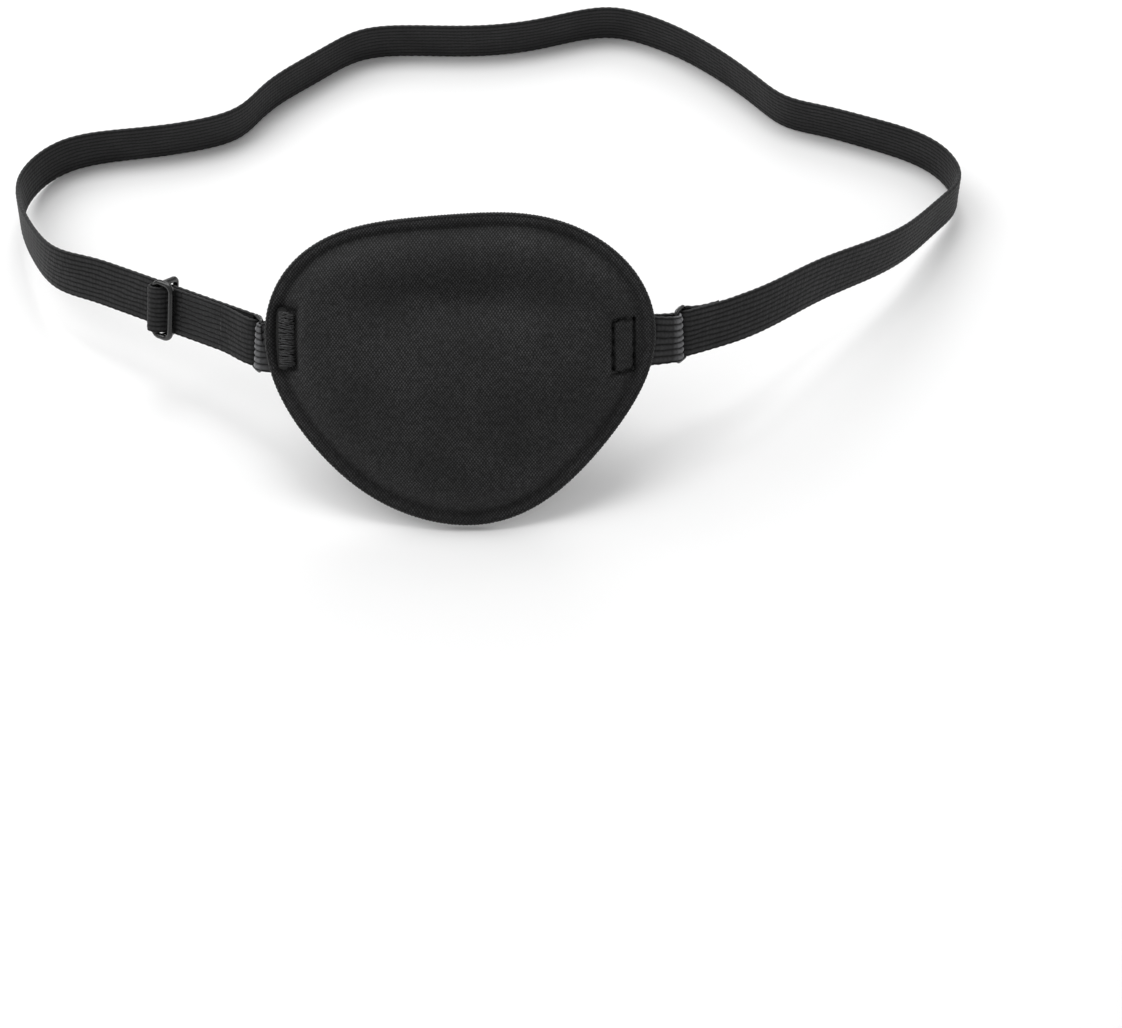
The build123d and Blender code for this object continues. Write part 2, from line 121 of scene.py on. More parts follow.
# Patch's rolled edge
ROLL_INSET = 0.15  # from the outline to the middle of the roll
ROLL_HALF_WIDTH = 0.48
ROLL_HALF_HEIGHT = 0.98
ROLL_PINCHES = 190
EDGE_STITCHES = 280
EDGE_THREAD = 0.085  # radius

# Bar tack, left of the patch
TACK_MARGIN = 0.35  # inside the CAD pad's outline
TACK_SINK = 0.9  # how far the cover is pulled down round it
TACK_MOAT = 1.2  # further depth right beside it
TACK_RISE = 0.75  # height of the padded bar
SATIN_PITCH = 0.42
SATIN_THREAD = 0.12
SATIN_LAYERS = 3

# Box stitch, right of the patch
BOX_SLANT = 0.13  # rise of its ends for each millimetre to the right
BOX_PRESS = 0.3  # how far its inside is pressed in
BOX_LINE = 1.5  # depth of the line that its threads lie in
BOX_INSET = 0.4  # from the CAD pad's outline to the threads
BOX_PITCH = 1.25
BOX_THREAD = 0.12

# Rows of zigzag thread
ROW_PITCH = 0.55
ROW_THREAD = 0.17

# Light and camera
LIGHTS = {  # place and size in metres, and power in watts
    "key_light": ((-1.0, 0.3, 1.3), 1.4, 12.0),
    "back_light": ((0.1, 1.2, 0.9), 1.0, 5.0),
    "top_light": ((0.0, 0.5, 1.7), 0.9, 11.0),
}
LIGHT_AIM = (0, 0.04, 0.01)  # metres
WORLD_LIGHT = 0.48
FLOOR_REACH = 3.0  # metres
CAMERA_FROM_PATCH = np.array([21.95, -362.2, 374.7])  # from between the two stitches
CAMERA_TILT = 40  # degrees up from straight down
CAMERA_LENS = 80.09

random = np.random.default_rng(SEED)


# ------------------------------------------------------------------ small tools


def unit(vectors):
    return vectors / np.linalg.norm(vectors, axis=-1, keepdims=True)


def eased(value):
    value = np.clip(value, 0.0, 1.0)
    return value * value * (3 - 2 * value)


def lengths_along(points):
    steps = np.linalg.norm(np.diff(points, axis=0), axis=1)
    return np.concatenate([[0.0], np.cumsum(steps)])


def resampled(points, spacing, *others):
    """Points spaced evenly along a line, with any other rows of values carried along."""
    along = lengths_along(points)
    count = max(2, int(round(along[-1] / spacing)) + 1)
    wanted = np.linspace(0, along[-1], count)
    rows = [
        np.stack([np.interp(wanted, along, values[:, i]) for i in range(3)], axis=1)
        for values in (points, *others)
    ]
    return rows if others else rows[0]


def smoothed(values, reach):
    """Rows or single values evened out over reach samples, with the two ends kept."""
    if values.ndim == 1:
        return smoothed(values[:, None], reach)[:, 0]
    size = min(int(3 * reach), len(values) - 1)
    kernel = np.exp(-0.5 * (np.arange(-size, size + 1) / reach) ** 2)
    kernel /= kernel.sum()
    head = 2 * values[0] - values[size:0:-1]
    tail = 2 * values[-1] - values[-2 : -size - 2 : -1]
    padded = np.concatenate([head, values, tail])
    columns = [np.convolve(padded[:, i], kernel, "valid") for i in range(values.shape[1])]
    return np.stack(columns, axis=1)


def make_piece(name, points, faces, body, material, stands_for=(), uv=None):
    """A mesh piece from points in millimetres that rides on a CAD body."""
    mesh = bpy.data.meshes.new(name)
    mesh.from_pydata((np.asarray(points) * MM).tolist(), [], faces)
    mesh.update()
    mesh.polygons.foreach_set("use_smooth", [len(face) <= 4 for face in faces])
    mesh.materials.append(material)
    if uv is not None:
        corner = np.zeros(len(mesh.loops), np.int32)
        mesh.loops.foreach_get("vertex_index", corner)
        layer = mesh.uv_layers.new(name="UVMap")
        layer.data.foreach_set("uv", np.asarray(uv, float)[corner].ravel())
    piece = bpy.data.objects.new(name, mesh)
    bpy.context.scene.collection.objects.link(piece)
    if body:
        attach(piece, body)
    if stands_for:
        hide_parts(*stands_for)
    return piece


def tube_faces(stations, sides, first=0, closed=False):
    """Quads of a tube of rings of points, with both ends filled unless it is closed."""
    faces = []
    for i in range(stations if closed else stations - 1):
        a, b = first + i * sides, first + (i + 1) % stations * sides
        for j in range(sides):
            k = (j + 1) % sides
            faces.append((a + j, b + j, b + k, a + k))
    if not closed:
        faces.append(tuple(range(first, first + sides)))
        last = first + (stations - 1) * sides
        faces.append(tuple(range(last + sides - 1, last - 1, -1)))
    return faces


def thread_tubes(paths, radius, sides=7):
    """Points and faces of round threads along paths."""
    points, faces = [], []
    guide = np.array([0.31, 0.17, 0.94])  # a direction that no thread runs along
    turn = np.linspace(0, 2 * math.pi, sides, endpoint=False)
    for path in paths:
        path = np.asarray(path, float)
        ahead = unit(np.gradient(path, axis=0))
        side = unit(np.cross(ahead, guide))
        other = np.cross(ahead, side)
        rings = (
            path[:, None]
            + side[:, None] * np.cos(turn)[None, :, None] * radius
            + other[:, None] * np.sin(turn)[None, :, None] * radius
        )
        faces += tube_faces(len(path), sides, first=len(points))
        points.extend(rings.reshape(-1, 3))
    return np.array(points), faces


# ------------------------------------------------------------------ materials


class Look:
    """A material's node tree, with short calls to add nodes."""

    def __init__(self, name, **surface):
        self.material = bpy.data.materials.new(name)
        self.material.use_nodes = True
        self.tree = self.material.node_tree
        self.shader = self.tree.nodes["Principled BSDF"]
        for key, value in surface.items():
            self.set(self.shader, key.replace("_", " "), value)

    def set(self, node, key, value):
        if isinstance(value, bpy.types.NodeSocket):
            self.tree.links.new(value, node.inputs[key])
        else:
            node.inputs[key].default_value = value

    def add(self, kind, inputs, output=0, **settings):
        node = self.tree.nodes.new("ShaderNode" + kind)
        for key, value in settings.items():
            setattr(node, key, value)
        for key, value in inputs.items():
            self.set(node, key, value)
        return node.outputs[output]

    def maths(self, operation, *values):
        return self.add("Math", dict(enumerate(values)), operation=operation)

    def wave(self, value, period):
        """The size of a sine along value, 0 at each multiple of period and 1 between."""
        turned = self.maths("MULTIPLY", value, math.pi / period)
        return self.maths("ABSOLUTE", self.maths("SINE", turned))

    def noise(self, place, scale, detail=3.0):
        return self.add("TexNoise", {"Vector": place, "Scale": scale, "Detail": detail})

    def blend(self, share, low, high):
        """The colour between low and high at share."""
        node = self.tree.nodes.new("ShaderNodeMix")
        node.data_type = "RGBA"
        self.set(node, 0, share)
        self.set(node, 6, low)
        self.set(node, 7, high)
        return node.outputs[2]

    def ranged(self, value, low, high, out_low=0.0, out_high=1.0):
        inputs = {0: value, 1: low, 2: high, 3: out_low, 4: out_high}
        return self.add("MapRange", inputs)

    def painted_crevice_shade(self, colour, reach):
        """The colour with painted shade: darker where the surface is closed in within reach
        metres.
        """
        inputs = {"Distance": reach}
        closed = self.add("AmbientOcclusion", inputs, output=1, samples=4)
        share = self.maths("POWER", closed, 1.6)
        return self.add("VectorMath", {0: colour, "Scale": share}, operation="SCALE")

    def bump(self, height, distance, strength=1.0):
        inputs = {"Height": height, "Distance": distance, "Strength": strength}
        self.set(self.shader, "Normal", self.add("Bump", inputs))

    def surface_place(self):
        """The two surface coordinates in millimetres, as separate values."""
        place = self.add("UVMap", {}, uv_map="UVMap")
        parts = self.tree.nodes.new("ShaderNodeSeparateXYZ")
        self.set(parts, 0, place)
        return place, parts.outputs[0], parts.outputs[1]


def grey(value, tint=0.0):
    return (value, value, value * (1 + tint), 1)


def knit_look(name, pitch=0.66, base=0.0035, top=0.049):
    """Fine black jersey whose stitches make a diamond pattern, with a painted sheen: raised
    stitches are painted paler than the hollows between them.
    """
    look = Look(name, Roughness=0.78)
    place, u, v = look.surface_place()
    drift = look.maths("MULTIPLY", look.noise(place, 0.35), 1.1)
    stretched = look.maths("ADD", look.maths("MULTIPLY", v, 0.8), drift)
    rising = look.maths("ADD", u, stretched)
    falling = look.maths("SUBTRACT", u, stretched)
    stitch = look.maths("MULTIPLY", look.wave(rising, pitch), look.wave(falling, pitch))
    uneven = look.ranged(look.noise(place, 0.9, 2.0), 0.3, 0.7, 0.55, 1.35)
    height = look.maths("MULTIPLY", look.maths("POWER", stitch, 1.1), uneven)
    cloud = look.noise(place, 0.09)
    fine = look.noise(place, 2.2, 2.0)
    raised = look.maths("MULTIPLY", height, 0.75)
    mixed = look.maths("ADD", raised, look.maths("MULTIPLY", fine, 0.35))
    shade = look.ranged(mixed, 0.25, 0.95)
    # Painted sheen: the colour runs from base in the hollows to top on the raised stitches.
    colour = look.blend(shade, grey(base), grey(top, 0.03))
    patchy = look.ranged(cloud, 0.35, 0.68, 0.8, 1.2)
    scaled = look.add("VectorMath", {0: colour, "Scale": patchy}, operation="SCALE")
    # Painted shade: the jersey's colour is darkened in crevices within 3 mm.
    look.set(look.shader, "Base Color", look.painted_crevice_shade(scaled, 0.003))
    look.set(look.shader, "Sheen Weight", 0.1)
    look.set(look.shader, "Sheen Roughness", 0.5)
    look.set(look.shader, "Sheen Tint", grey(0.75))
    look.set(look.shader, "Specular IOR Level", 0.22)
    look.bump(mixed, 0.00016, 0.8)
    return look.material


def elastic_look(name, light=1.0, ribs=RIBS, fold_at=None):
    """Black knitted elastic: rows of small slanted stitches on lengthwise ribs, with painted shade
    in the grooves between the ribs and painted highlights on their ridges and stitches.

    fold_at is the place along the band of a fold, near which the band gets a painted highlight, up
    to six times paler.
    """
    look = Look(name, Roughness=0.7)
    place, across, along = look.surface_place()
    rib = look.wave(across, 2 * FLAT / ribs)
    slant = look.maths("MULTIPLY", rib, 0.4)
    stitch = look.wave(look.maths("ADD", along, slant), CHAIN)
    ridge = look.maths("MULTIPLY", look.maths("POWER", rib, 0.5), 0.65)
    knots = look.maths("MULTIPLY", look.maths("MULTIPLY", stitch, rib), 0.22)
    fine = look.maths("MULTIPLY", look.noise(place, 1.8, 2.0), 0.45)
    mixed = look.maths("ADD", look.maths("ADD", ridge, knots), fine)
    shade = look.ranged(mixed, 0.35, 1.05)
    # Painted shade and highlight: darker in the rib grooves, paler on the ridges and stitches.
    colour = look.blend(shade, grey(0.0018 * light), grey(0.025 * light, 0.04))
    cloud = look.noise(place, 0.12)
    patchy = look.ranged(cloud, 0.35, 0.68, 0.8, 1.2)
    if fold_at is not None:
        # Painted highlight: the band is painted paler near the fold.
        away = look.maths("ABSOLUTE", look.maths("SUBTRACT", along, fold_at))
        patchy = look.maths("MULTIPLY", patchy, look.ranged(away, 0.5, 2.6, 6.0, 1.0))
    scaled = look.add("VectorMath", {0: colour, "Scale": patchy}, operation="SCALE")
    # Painted shade: the elastic's colour is darkened in crevices within 0.8 mm.
    look.set(look.shader, "Base Color", look.painted_crevice_shade(scaled, 0.0008))
    look.set(look.shader, "Sheen Weight", 0.08)
    look.set(look.shader, "Sheen Roughness", 0.4)
    look.set(look.shader, "Specular IOR Level", 0.28)
    look.bump(mixed, 0.00025, 0.8)
    return look.material


def thread_look(name, value=0.02):
    """Slightly glossy black sewing thread with a twist."""
    look = Look(name, Roughness=0.5)
    place = look.add("NewGeometry", {})
    scales = (1800.0, 2600.0, 4200.0)
    stretched = look.add("VectorMath", {0: place, 1: scales}, operation="MULTIPLY")
    twist = look.noise(stretched, 1.0, 1.0)
    shade = look.ranged(twist, 0.35, 0.7)
    colour = look.blend(shade, grey(value * 0.45), grey(value * 1.4, 0.03))
    # Painted shade: the thread's colour is darkened in crevices within 0.7 mm.
    look.set(look.shader, "Base Color", look.painted_crevice_shade(colour, 0.0007))
    look.set(look.shader, "Sheen Weight", 0.05)
    look.set(look.shader, "Specular IOR Level", 0.3)
    look.bump(twist, 0.00008, 0.7)
    return look.material


def foam_look(name):
    look = Look(name, Roughness=0.9)
    place, _, _ = look.surface_place()
    cells = look.noise(place, 3.0, 2.0)
    look.set(look.shader, "Base Color", look.blend(cells, grey(0.02), grey(0.06)))
    look.bump(cells, 0.0002)
    return look.material


def wire_look(name):
    """Glossy black coating on wire, rubbed a little and uneven."""
    look = Look(name, Metallic=0.0)
    place = look.add("NewGeometry", {})
    broad = look.add("VectorMath", {0: place, "Scale": 420.0}, operation="SCALE")
    close = look.add("VectorMath", {0: place, "Scale": 5200.0}, operation="SCALE")
    wear = look.noise(broad, 1.0)
    grain = look.noise(close, 1.0, 2.0)
    colour = look.blend(look.ranged(wear, 0.5, 0.8), grey(0.003), grey(0.012, 0.05))
    look.set(look.shader, "Base Color", colour)
    look.set(look.shader, "Roughness", look.ranged(wear, 0.3, 0.7, 0.16, 0.36))
    look.set(look.shader, "Coat Weight", 0.35)
    look.set(look.shader, "Coat Roughness", 0.1)
    look.bump(grain, 0.00002, 0.5)
    return look.material


# ------------------------------------------------------------------ bands


def welded(node):
    """A CAD node's points in millimetres, each once, and its faces."""
    mesh = frame["nodes"][node].data
    raw = np.array([v.co for v in mesh.vertices], float) / MM
    cells = np.round(raw / WELD).astype(int)
    _, first, index = np.unique(cells, axis=0, return_index=True, return_inverse=True)
    index = index.ravel()
    return raw[first], [[index[i] for i in face.vertices] for face in mesh.polygons]


def band_edges(node):
    """The four long edges of a CAD band: two neighbours in its thickness, then the other two."""
    points, faces = welded(node)
    normals = {}
    for corners in faces:
        a, b, c = points[corners[:3]]
        normal = np.cross(b - a, c - a)
        size = np.linalg.norm(normal)
        if size < 1e-9:
            continue
        for start, end in zip(corners, corners[1:] + corners[:1]):
            key = (min(start, end), max(start, end))
            normals.setdefault(key, []).append(normal / size)
    links = {}
    for (a, b), pair in normals.items():
        if len(pair) == 2 and pair[0] @ pair[1] < CREASE:
            links.setdefault(a, []).append(b)
            links.setdefault(b, []).append(a)

    def walks(corner):
        """Thickness, width and length, as the edges that leave a corner."""
        found = []
        for step in links[corner]:
            path = [corner, step]
            while len(links[path[-1]]) == 2:
                path.append(next(n for n in links[path[-1]] if n != path[-2]))
            found.append(path)
        return sorted(found, key=lambda p: (len(p), lengths_along(points[p])[-1]))

    corners = [p for p, near in links.items() if len(near) == 3]
    start = min(corners, key=lambda p: (round(points[p][0], 1), round(points[p][2], 1)))
    thickness, width, length = walks(start)
    edges = [length]
    for corner in (thickness[-1], width[-1], walks(width[-1])[0][-1]):
        edges.append(walks(corner)[2])
    return [points[edge] for edge in edges]


def followed(guide, edge):
    """For each point of guide, the nearest point of edge that is not behind the last one."""
    place, found = 0, []
    for point in guide:
        near = edge[place : place + WINDOW]
        place += int(np.argmin(((near - point) ** 2).sum(1)))
        found.append(edge[place])
    return np.array(found)


@functools.cache
def band_course(node):
    """Centre line, across and outward directions of a CAD band, in order along it."""
    edges = [resampled(edge, DENSE) for edge in band_edges(node)]
    near, beside, over, beyond = [edges[0]] + [followed(edges[0], e) for e in edges[1:]]
    centre = (near + beside + over + beyond) / 4
    across = over + beyond - near - beside
    if across[0][2] < 0:
        across = -across
    outward = near - beside
    fine = smoothed(centre, FINE)
    broad = smoothed(centre, min(BROAD, len(centre) / 7))
    apart = np.linalg.norm(fine - broad, axis=1)[:, None]
    start, span = SHARP
    share = np.clip(smoothed(eased((apart - start) / span), 8), 0, 1)
    centre = broad * (1 - share) + fine * share
    across = smoothed(across, 12)
    centre, across, outward = resampled(centre, STATION, across, outward)
    ahead = unit(np.gradient(centre, axis=0))
    across = unit(across - (across * ahead).sum(1, keepdims=True) * ahead)
    facing = np.cross(across, ahead)
    if (facing * outward).sum() < 0:
        facing = -facing
    return centre, across, facing


def band_section(ribs):
    """The elastic's outline across its width, and how much of each point is edge cord."""
    count = ribs * RIB_SAMPLES
    places = np.linspace(-FLAT, FLAT, count + 1)
    swell = np.abs(np.sin(math.pi * np.arange(count + 1) / RIB_SAMPLES)) ** RIB_ROUNDNESS
    heights = THICKNESS / 2 - RIB_DEPTH * (1 - swell)
    turn = np.radians(np.linspace(CORD_TURN, -CORD_TURN, CORD_SAMPLES))
    cord = np.stack([FLAT + CORD * np.cos(turn), CORD * np.sin(turn)], axis=1)
    front = np.stack([places, heights], axis=1)
    section = np.concatenate([front, cord, front[::-1] * (1, -1), cord[::-1] * (-1, 1)])
    edge = np.zeros(len(section))
    edge[count + 1 : count + 1 + CORD_SAMPLES] = 1
    edge[-CORD_SAMPLES:] = 1
    return section, edge


def leaned(centre, across, outward, degrees):
    """The band tipped about its lower edge, by degrees towards the middle of the loop."""
    middle = len(centre) // 2
    if (centre[middle] - centre[0]) @ outward[middle] < 0:
        outward = -outward
    turn = np.radians(degrees)[:, None]
    tipped = across * np.cos(turn) - outward * np.sin(turn)
    facing = outward * np.cos(turn) + across * np.sin(turn)
    rise = np.abs(np.sin(turn)) * THICKNESS / 2 * np.array([0.0, 0.0, 1.0])
    return centre + (tipped - across) * WIDTH / 2 + rise, tipped, facing


def strap_lean(along):
    """How much further than the CAD strap each place leans inwards, in degrees."""
    places = [place for place, _ in LEAN_FROM_LEFT]
    places += [along[-1] - place for place, _ in LEAN_FROM_RIGHT]
    degrees = [lean for _, lean in LEAN_FROM_LEFT + LEAN_FROM_RIGHT]
    return np.interp(along, places, degrees)


def settled_strap(centre, across, outward):
    """The strap's course with its own lean, and its sewn end a little lower."""
    along = lengths_along(centre)
    lean = smoothed(strap_lean(along), 12)
    centre, across, outward = leaned(centre, across, outward, lean)
    sewn = eased((along - along[-1] + SEWN_END) / 4)[:, None]
    return centre - across * sewn * SEWN_DROP, across, outward


def strayed(centre, outward):
    """A course that wanders slightly in and out, away from the fittings at its ends."""
    along = lengths_along(centre)
    rolling = smoothed(random.normal(size=(len(along), 3)), 22)
    rolling /= np.abs(rolling).max()
    free = eased((along - STEADY_LEFT) / 20) * eased((along[-1] - STEADY_RIGHT - along) / 20)
    return centre + outward * (rolling[:, :1] * WANDER * free[:, None])


def fold_of(node):
    """How far along a band its fold is, and on which side of the band its outside lies."""
    centre, _, outward = band_course(node)
    turning = np.gradient(unit(np.gradient(centre, axis=0)), axis=0)
    tightest = int(np.argmax(smoothed(np.linalg.norm(turning, axis=1), 4)))
    side = -np.sign(turning[tightest] @ outward[tightest])
    return lengths_along(centre)[tightest], side


def uneven(section, edge, run):
    """Places across and depths of a band's section, with the unevenness of knitting."""
    place, depth = section[None, :, 0], section[None, :, 1]
    inner = (1 - edge)[None] * np.cos(place * math.pi / WIDTH)
    waver = 0.1 * np.sin(run * 0.5 + 1.7 * np.sin(run * 0.13) + place * 0.9)
    waver += 0.05 * np.sin(run * 1.9 + place * 2.3)
    beads = 0.06 * np.sin(2 * math.pi * run / (4 * STATION)) * edge[None] * np.sign(place)
    sideways = place + waver * inner + beads
    return sideways, depth * (1 + 0.06 * np.sin(run * 2.7 + place * 1.1) * (1 - edge)[None])


def band_piece(name, node, body, look, ribs=RIBS, overlap=0.0, fold=None):
    """An elastic band built along a CAD band's course, and overlap beyond both its ends.

    fold is the place and side, from fold_of, of a fold whose ribs stand out.
    """
    centre, across, outward = band_course(node)
    if overlap:
        first = centre[0] + unit(centre[0] - centre[1]) * overlap
        last = centre[-1] + unit(centre[-1] - centre[-2]) * overlap
        centre = np.concatenate([[first], centre, [last]])
        across, outward = (np.concatenate([r[:1], r, r[-1:]]) for r in (across, outward))
    if node == "strap":
        centre, across, outward = settled_strap(centre, across, outward)
    along = lengths_along(centre)
    if node == "strap":
        centre = strayed(centre, outward)
    section, edge = band_section(ribs)
    place, run = section[None, :, 0], along[:, None]
    sideways, depth = uneven(section, edge, run)
    turning = np.gradient(unit(np.gradient(centre, axis=0)), axis=0)
    bend = np.linalg.norm(turning, axis=1) / STATION
    depth = depth * (1 - FOLD_SQUEEZE * eased((bend - FOLD_BEND) / FOLD_BEND))[:, None]
    if fold:
        fold_at, side = fold
        ridge = np.abs(np.sin(math.pi * (place + FLAT) * ribs / (2 * FLAT)))
        gather = GATHER * np.exp(-(((run - fold_at) / GATHER_REACH) ** 2)) * (ridge - 0.3)
        depth = depth + np.where(depth * side > 0, gather * side, 0)
    points = (
        centre[:, None]
        + across[:, None] * sideways[..., None]
        + outward[:, None] * depth[..., None]
    )
    uv = np.stack(np.broadcast_arrays(place + FLAT, run), axis=2)
    faces = tube_faces(len(centre), len(section))
    shape = points.reshape(-1, 3)
    return make_piece(name, shape, faces, body, look, (node,), uv.reshape(-1, 2))


# ------------------------------------------------------------------ patch surface

seam_points = welded("edge_seam")[0]
seam_middle = seam_points.mean(axis=0)
patch_normal = np.linalg.svd(seam_points - seam_middle, full_matrices=False)[2][2]
patch_normal *= -np.sign(patch_normal[1])
patch_right = np.array([1.0, 0.0, 0.0])
patch_up = np.cross(patch_normal, patch_right)


def in_patch(points):
    """Right, up and out from the middle of the patch's seam."""
    away = np.asarray(points) - seam_middle
    return np.stack([away @ patch_right, away @ patch_up, away @ patch_normal], axis=-1)


def from_patch(u, v, w):
    u, v, w = np.broadcast_arrays(u, v, w)
    return (
        seam_middle
        + u[..., None] * patch_right
        + v[..., None] * patch_up
        + w[..., None] * patch_normal
    )


seam_flat = in_patch(seam_points)
BACK = in_patch(welded("back_cover")[0])[:, 2].min()
RIM = -BACK
SEAM_RADIUS = seam_flat[:, 2].max()


def harmonics(angle):
    rows = [np.ones_like(angle)]
    for order in range(1, HARMONICS + 1):
        rows += [np.cos(order * angle), np.sin(order * angle)]
    return np.stack(rows, axis=-1)


seam_angle = np.arctan2(seam_flat[:, 1], seam_flat[:, 0])
seam_reach = np.hypot(seam_flat[:, 0], seam_flat[:, 1])
outline_terms = np.linalg.lstsq(harmonics(seam_angle), seam_reach - SEAM_RADIUS, rcond=None)[0]


def outline(angle):
    return harmonics(np.asarray(angle, float)) @ outline_terms


def pad_extent(node, front):
    """Lowest and highest right and up of a stitch pad on the patch's front or back."""
    flat = in_patch(welded(node)[0])
    chosen = flat[(flat[:, 2] > 0) == front]
    return chosen[:, :2].min(axis=0), chosen[:, :2].max(axis=0)


TACK = pad_extent("left_bar_tack", True)
BOX = pad_extent("right_box_stitch", True)


def outside_of(extent, u, v, slant=0.0):
    """Signed distance from a rectangle, negative inside it.

    slant makes its ends rise to the right.
    """
    (left, low), (right, high) = extent
    v = v - slant * (u - (left + right) / 2)
    du = np.abs(u - (left + right) / 2) - (right - left) / 2
    dv = np.abs(v - (low + high) / 2) - (high - low) / 2
    outside = np.hypot(np.maximum(du, 0), np.maximum(dv, 0))
    return outside + np.minimum(np.maximum(du, dv), 0)


def hump(u, v, centre_u, centre_v, wide, tall):
    return np.exp(-(((u - centre_u) / wide) ** 2) - ((v - centre_v) / tall) ** 2)


TAB_LINE = (TACK[0][1] + TACK[1][1]) / 2


def moulded_height(u, v):
    """Height of the moulded cover above the rim without its stitches, and distance to the edge."""
    angle = np.arctan2(v, u)
    edge = (outline(angle) - np.hypot(u, v)) * EDGE_SLOPE
    inside = np.maximum(edge - GROOVE_PLACE, 0)
    height = SHOULDER * (1 - np.exp(-((inside / SHOULDER_REACH) ** 1.5)))
    inner = eased((edge - 4) / 13)
    for rise, right, above, wide, tall in RELIEFS:
        height += rise * hump(u, v, right, TAB_LINE + above, wide, tall) * inner
    return height, edge


def front_height(u, v):
    """Height of the outer cover over the patch's middle plane."""
    height, edge = moulded_height(u, v)
    groove = GROOVE_DEPTH * np.exp(-(((edge - GROOVE_PLACE) / GROOVE_WIDTH) ** 2))
    roll = EDGE_ROLL * np.exp(-edge / 0.4)
    waver = 0.06 * np.sin(u * 0.41 + 1.3) * np.sin(v * 0.37 + 0.4)
    waver += 0.03 * np.sin(u * 0.93 + v * 0.61)
    tack = outside_of(TACK, u, v)
    sunk = TACK_SINK * np.exp(-((np.maximum(tack, 0) / 2.0) ** 2))
    moat = TACK_MOAT * np.exp(-(((tack + 0.1) / 0.6) ** 2))
    height = height - (sunk + moat) * eased(edge / 2.2)
    box = outside_of(BOX, u, v, BOX_SLANT)
    pressed = BOX_PRESS * np.exp(-((np.maximum(box, 0) / 1.6) ** 2))
    line = BOX_LINE * np.exp(-(((box + 0.35) / 0.33) ** 2))
    line *= 1 - 0.25 * np.sin(u * 3.1 + v * 2.3)
    height = height - (pressed + line) * eased(edge / 2.0)
    return RIM + height - groove - roll + waver * eased(edge / 6)


def back_height(u, v):
    """Height of the wearer's side, hollow except behind the tabs."""
    height, edge = moulded_height(u, v)
    tabs = eased((np.abs(v - TAB_LINE) - TAB_POCKET) / 3.5)
    sides = eased((TAB_POCKET_START - np.abs(u)) / 4.0)
    open_share = np.maximum(tabs, sides)
    softened = height * eased((edge - 4.5) / 4.0)
    return BACK + CAVITY * softened * open_share + 0.25 * np.exp(-edge / 0.45)


def ring_shares(count, edge_share=0.9):
    """Shares of the outline's radius for the grid's rings, closer together at the rim."""
    inner = np.linspace(0, edge_share, count)[1:]
    outer = np.linspace(edge_share, 1, count // 3)[1:]
    return np.concatenate([inner, outer])


def under_front(u, v):
    return front_height(u, v) - COVER


def over_back(u, v):
    return back_height(u, v) + COVER


def foam_top(u, v):
    return under_front(u, v) - LAYER_GAP


def foam_bottom(u, v):
    return over_back(u, v) + LAYER_GAP


def patch_layer(name, node, surfaces, look, rings=(96, 40), spokes=SPOKES, inset=0.0):
    """A closed layer of the patch between an upper and a lower height function.

    rings is how many rings of points each has.
    """
    angles = np.linspace(0, 2 * math.pi, spokes, endpoint=False)
    reach = outline(angles) - inset
    points, uv, faces = [], [], []

    def disc(surface, shares, flip):
        first = len(points)
        u = np.concatenate([[0.0], np.outer(shares, reach * np.cos(angles)).ravel()])
        v = np.concatenate([[0.0], np.outer(shares, reach * np.sin(angles)).ravel()])
        points.extend(from_patch(u, v, surface(u, v)))
        uv.extend(np.stack([u + UV_SHIFT, v + UV_SHIFT], axis=1))
        for j in range(spokes):
            k = (j + 1) % spokes
            fan = (first, first + 1 + j, first + 1 + k)
            faces.append(fan[::-1] if flip else fan)
            for i in range(len(shares) - 1):
                a = first + 1 + i * spokes
                quad = (a + j, a + spokes + j, a + spokes + k, a + k)
                faces.append(quad[::-1] if flip else quad)
        return first + 1 + (len(shares) - 1) * spokes

    upper = disc(surfaces[0], ring_shares(rings[0]), False)
    lower = disc(surfaces[1], ring_shares(rings[1]), True)
    for j in range(spokes):
        k = (j + 1) % spokes
        faces.append((upper + j, lower + j, lower + k, upper + k))
    return make_piece(name, points, faces, ROOT, look, (node,), uv)


def edge_binding(name, look):
    """The rolled edge of the patch, pinched a little by its thread."""
    angles = np.linspace(0, 2 * math.pi, 900, endpoint=False)
    turn = np.linspace(0, 2 * math.pi, 14, endpoint=False)
    reach = outline(angles)[:, None]
    pinch = 1 + 0.05 * np.cos(angles * ROLL_PINCHES)[:, None]
    out = reach - ROLL_INSET + ROLL_HALF_WIDTH * pinch * np.cos(turn)[None]
    w = ROLL_HALF_HEIGHT * pinch * np.sin(turn)[None]
    points = from_patch(out * np.cos(angles)[:, None], out * np.sin(angles)[:, None], w)
    along = np.broadcast_to(reach * angles[:, None], w.shape)
    uv = np.stack([along, np.broadcast_to(turn[None] * 0.8, w.shape)], axis=2).reshape(-1, 2)
    faces = tube_faces(len(angles), len(turn), closed=True)
    shape = points.reshape(-1, 3)
    return make_piece(name, shape, faces, ROOT, look, ("edge_seam",), uv)


def edge_stitches(name, look):
    """Small slanted overlock stitches on the outside of the patch's edge."""
    paths = []
    for i in range(EDGE_STITCHES):
        angle = 2 * math.pi * i / EDGE_STITCHES
        bend = np.linspace(-1.1, 1.25, 9)
        slant = angle + 0.009 * bend
        out = outline(slant) - ROLL_INSET + 0.47 * np.cos(bend)
        w = 1.02 * np.sin(bend)
        paths.append(from_patch(out * np.cos(slant), out * np.sin(slant), w))
    points, faces = thread_tubes(paths, EDGE_THREAD, sides=6)
    return make_piece(name, points, faces, ROOT, look)


# ------------------------------------------------------------------ stitches

# The cover's height where the bar tack lies
TACK_BED = float(front_height(np.mean([p[0] for p in TACK]), TAB_LINE))


